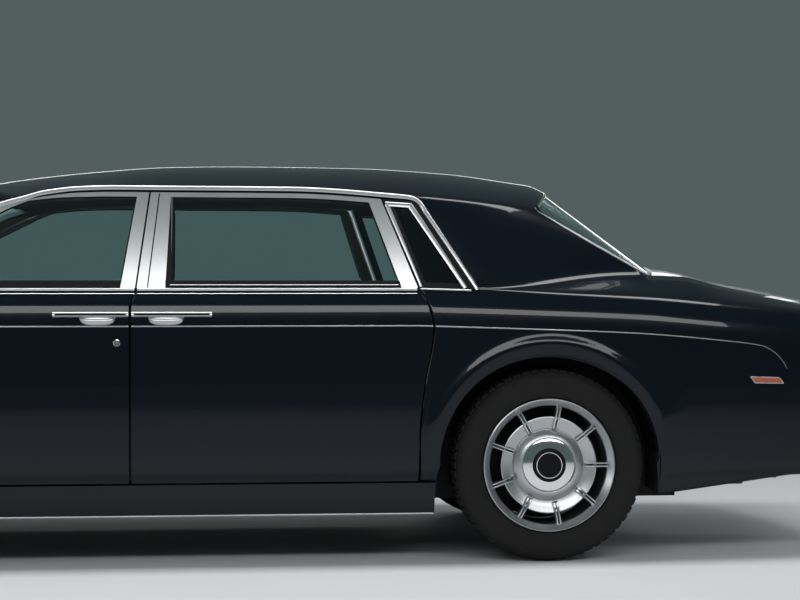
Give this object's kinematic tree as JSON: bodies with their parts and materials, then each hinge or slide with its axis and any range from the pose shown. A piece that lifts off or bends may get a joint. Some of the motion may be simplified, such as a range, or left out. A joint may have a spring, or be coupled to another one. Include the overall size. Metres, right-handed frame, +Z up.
{
  "type": "luxury sedan",
  "caption": "Long four-door saloon car with rear-hinged back doors, upright barred grille, bright window frames, opening lids, steered front wheels and a hollow cabin.",
  "frame": {"origin": "on the ground under the middle of the car", "axes": "+X towards the tail, +Y to the car's right, +Z up"},
  "size_m": [6.084, 2.2724, 1.6495],
  "materials": {
    "paint": "gloss",
    "brightwork": "satin",
    "chrome": "polished",
    "glass": "tinted",
    "lamp_clear": "clear",
    "lamp_red": "gloss",
    "black_trim": "matte",
    "underbody": "matte",
    "wood": "lacquered",
    "leather": "soft",
    "engine_metal": "cast",
    "steel": "satin",
    "wheel_metal": "polished",
    "tyre": "matte"
  },
  "bodies": {
    "body": {"floor_pan": "underbody", "arch_liners": "black_trim", "sills": "paint", "bright_pillars": "brightwork", "roof": "paint", "front_wings": "paint", "rear_quarters": "paint", "scuttle": "black_trim", "bumper_front": "paint", "bumper_rear": "paint", "grille": "chrome", "headlamps": "lamp_clear", "rear_lamps": "lamp_red", "fixed_glass": "glass", "dashboard": "wood", "front_seats": "leather", "rear_seat": "leather", "steering_wheel": "black_trim", "engine": "engine_metal", "suspension": "steel", "exhaust": "steel", "tow_eyes": "steel"},
    "door_front_left": {"door_front_left": "paint", "door_front_left_brightwork": "brightwork", "door_front_left_glass": "glass"},
    "door_front_right": {"door_front_right": "paint", "door_front_right_brightwork": "brightwork", "door_front_right_glass": "glass"},
    "door_rear_left": {"door_rear_left": "paint", "door_rear_left_brightwork": "brightwork", "door_rear_left_glass": "glass"},
    "door_rear_right": {"door_rear_right": "paint", "door_rear_right_brightwork": "brightwork", "door_rear_right_glass": "glass"},
    "bonnet": {"bonnet": "paint"},
    "boot_lid": {"boot_lid": "paint"},
    "knuckle_left": {"knuckle_left": "steel"},
    "knuckle_right": {"knuckle_right": "steel"},
    "wheel_front_left": {"wheel_front_left": "wheel_metal", "tyre_front_left": "tyre"},
    "wheel_front_right": {"wheel_front_right": "wheel_metal", "tyre_front_right": "tyre"},
    "wheel_rear_left": {"wheel_rear_left": "wheel_metal", "tyre_rear_left": "tyre"},
    "wheel_rear_right": {"wheel_rear_right": "wheel_metal", "tyre_rear_right": "tyre"}
  },
  "joints": [
    {"name": "door_front_left_hinge", "type": "hinge", "parent": "body", "child": "door_front_left", "pos_m": [-1.174, -0.986, 0.7], "axis": [0, 0, -1], "range_deg": [0, 70]},
    {"name": "door_front_right_hinge", "type": "hinge", "parent": "body", "child": "door_front_right", "pos_m": [-1.174, 0.986, 0.7], "axis": [0, 0, 1], "range_deg": [0, 70]},
    {"name": "door_rear_left_hinge", "type": "hinge", "parent": "body", "child": "door_rear_left", "pos_m": [1.158, -0.986, 0.7], "axis": [0, 0, 1], "range_deg": [0, 70]},
    {"name": "door_rear_right_hinge", "type": "hinge", "parent": "body", "child": "door_rear_right", "pos_m": [1.158, 0.986, 0.7], "axis": [0, 0, -1], "range_deg": [0, 70]},
    {"name": "bonnet_hinge", "type": "hinge", "parent": "body", "child": "bonnet", "pos_m": [-1.457, 0, 1.0938], "axis": [0, 1, 0], "range_deg": [0, 50]},
    {"name": "boot_lid_hinge", "type": "hinge", "parent": "body", "child": "boot_lid", "pos_m": [2.24, 0, 1.184], "axis": [0, -1, 0], "range_deg": [0, 65]},
    {"name": "steer_left", "type": "hinge", "parent": "body", "child": "knuckle_left", "pos_m": [-2.162, -0.76, 0.394], "axis": [0, 0, 1], "range_deg": [-35, 35]},
    {"name": "steer_right", "type": "hinge", "parent": "body", "child": "knuckle_right", "pos_m": [-2.162, 0.76, 0.394], "axis": [0, 0, 1], "range_deg": [-35, 35]},
    {"name": "wheel_front_left_spin", "type": "hinge", "parent": "knuckle_left", "child": "wheel_front_left", "pos_m": [-2.162, -0.836, 0.394], "axis": [0, -1, 0], "continuous": true},
    {"name": "wheel_front_right_spin", "type": "hinge", "parent": "knuckle_right", "child": "wheel_front_right", "pos_m": [-2.162, 0.836, 0.394], "axis": [0, -1, 0], "continuous": true},
    {"name": "wheel_rear_left_spin", "type": "hinge", "parent": "body", "child": "wheel_rear_left", "pos_m": [1.658, -0.836, 0.394], "axis": [0, -1, 0], "continuous": true},
    {"name": "wheel_rear_right_spin", "type": "hinge", "parent": "body", "child": "wheel_rear_right", "pos_m": [1.658, 0.836, 0.394], "axis": [0, -1, 0], "continuous": true}
  ],
  "couplings": [
    {"joint": "steer_right", "follows": "steer_left", "ratio": 1}
  ]
}
